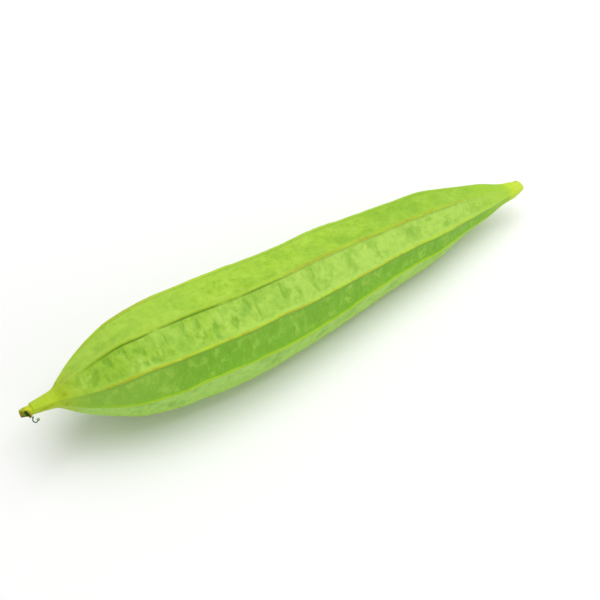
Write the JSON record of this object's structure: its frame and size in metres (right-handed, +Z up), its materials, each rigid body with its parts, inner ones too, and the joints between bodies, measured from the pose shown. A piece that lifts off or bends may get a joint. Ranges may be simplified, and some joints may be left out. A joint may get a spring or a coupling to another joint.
{
  "type": "ridge gourd",
  "caption": "Long tapering green gourd with sharp lengthwise ridges, a cut stem stub at one end and a beaked tip with a dry flower remnant at the other, lying on its side.",
  "frame": {"origin": "middle of the gourd's bounding box, on the surface that it lies on", "axes": "+X along the fruit towards the stem end, +Z up, -Y is the side it is usually seen from"},
  "size_m": [0.2988, 0.058, 0.0576],
  "materials": {
    "green_skin": null,
    "cut_stem": null,
    "dry_flower": null,
    "dark_thread": null
  },
  "bodies": {
    "root": {"fruit": "green_skin", "stem_stub": "cut_stem", "flower_cup": "dry_flower", "style_thread": "dark_thread"}
  },
  "joints": []
}
